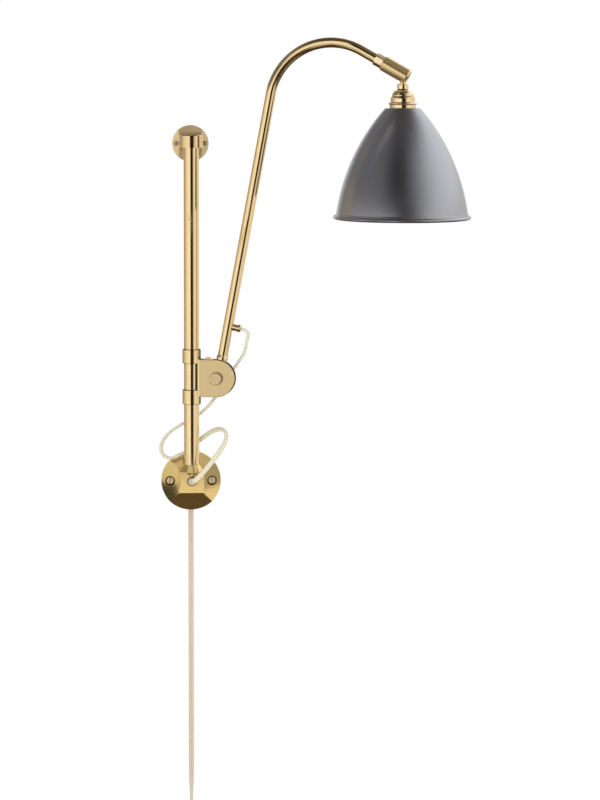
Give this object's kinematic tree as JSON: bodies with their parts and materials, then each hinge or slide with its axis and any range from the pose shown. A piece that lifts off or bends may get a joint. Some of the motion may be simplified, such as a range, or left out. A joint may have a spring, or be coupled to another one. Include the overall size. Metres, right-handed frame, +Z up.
{
  "type": "wall lamp",
  "caption": "Brass wall lamp with a sliding, turning carriage on a vertical rail, a swan-neck arm, a bell-shaped grey shade and a flat lead with a plug.",
  "frame": {"origin": "middle of the lower wall plate's back face, on the wall", "axes": "+Z up, +Y into the wall, +X to the right as seen from the room"},
  "size_m": [0.3604, 0.1987, 1.1171],
  "materials": {
    "polished_brass": "polished",
    "satin_brass": "satin",
    "brass_screws": "satin",
    "ivory_flex": "matte",
    "black_plastic": "matte",
    "spring_steel": "satin",
    "nickel": "satin",
    "grey_paint": "satin",
    "brass_ring": "satin",
    "clear_glass": "frosted"
  },
  "bodies": {
    "wall_frame": {"lower_wall_plate": "polished_brass", "lower_wall_screws": "brass_screws", "upper_wall_plate": "polished_brass", "upper_wall_screws": "brass_screws", "rail_tube": "polished_brass", "rail_grub_screw": "polished_brass", "cord_grommet": "polished_brass", "lead_inside_plate": "ivory_flex", "mains_lead": "ivory_flex", "mains_coil": "ivory_flex", "coil_tie": "black_plastic", "lead_tail": "ivory_flex", "plug_strain_relief": "ivory_flex", "plug_body": "ivory_flex", "plug_pins": "nickel", "flex_at_base": "ivory_flex"},
    "glide": {"glide_bushes": "black_plastic"},
    "carriage": {"carriage_bracket": "satin_brass", "carriage_core": "black_plastic", "cheek_spacer": "satin_brass", "pivot_pin": "satin_brass", "pivot_washer": "polished_brass", "pivot_nut": "polished_brass", "friction_pads": "black_plastic", "flex_at_carriage": "ivory_flex"},
    "arm": {"arm_tongue": "satin_brass", "arm_ferrule": "polished_brass", "arm_tube": "polished_brass", "cord_gland": "polished_brass", "arm_flex": "ivory_flex", "flex_at_arm": "ivory_flex", "arm_end_nut": "polished_brass", "arm_end_collar": "polished_brass"},
    "barrel": {"swivel_barrel": "polished_brass", "ball_cup": "spring_steel", "cup_spring": "spring_steel"},
    "head": {"swivel_ball": "polished_brass", "stem_nut": "polished_brass", "bell_cap": "polished_brass", "holder_flex": "ivory_flex", "lampholder_body": "black_plastic", "lampholder_shell": "nickel", "lampholder_contact": "nickel", "shade": "grey_paint", "shade_ring": "brass_ring", "bulb_glass": "clear_glass", "bulb_base": "nickel"}
  },
  "joints": [
    {"name": "carriage_height", "type": "slide", "parent": "wall_frame", "child": "glide", "axis": [0, 0, 1], "range_m": [-0.07, 0.14], "deforming": ["flex_at_base"]},
    {"name": "carriage_swivel", "type": "hinge", "parent": "glide", "child": "carriage", "pos_m": [0, -0.038, 0.1276], "axis": [0, 0, 1], "range_deg": [-157, 3], "deforming": ["flex_at_carriage"]},
    {"name": "arm_tilt", "type": "hinge", "parent": "carriage", "child": "arm", "pos_m": [0.02952, -0.04482, 0.1276], "axis": [0.225, 0.9744, 0], "range_deg": [-10, 70], "deforming": ["flex_at_arm"]},
    {"name": "barrel_roll", "type": "hinge", "parent": "arm", "child": "barrel", "pos_m": [0.24219, -0.09391, 0.48407], "axis": [0.848, -0.1958, -0.4924], "range_deg": [-90, 90]},
    {"name": "head_tilt", "type": "hinge", "parent": "barrel", "child": "head", "pos_m": [0.24219, -0.09391, 0.48407], "axis": [0.225, 0.9744, 0], "range_deg": [-60, 20]}
  ]
}
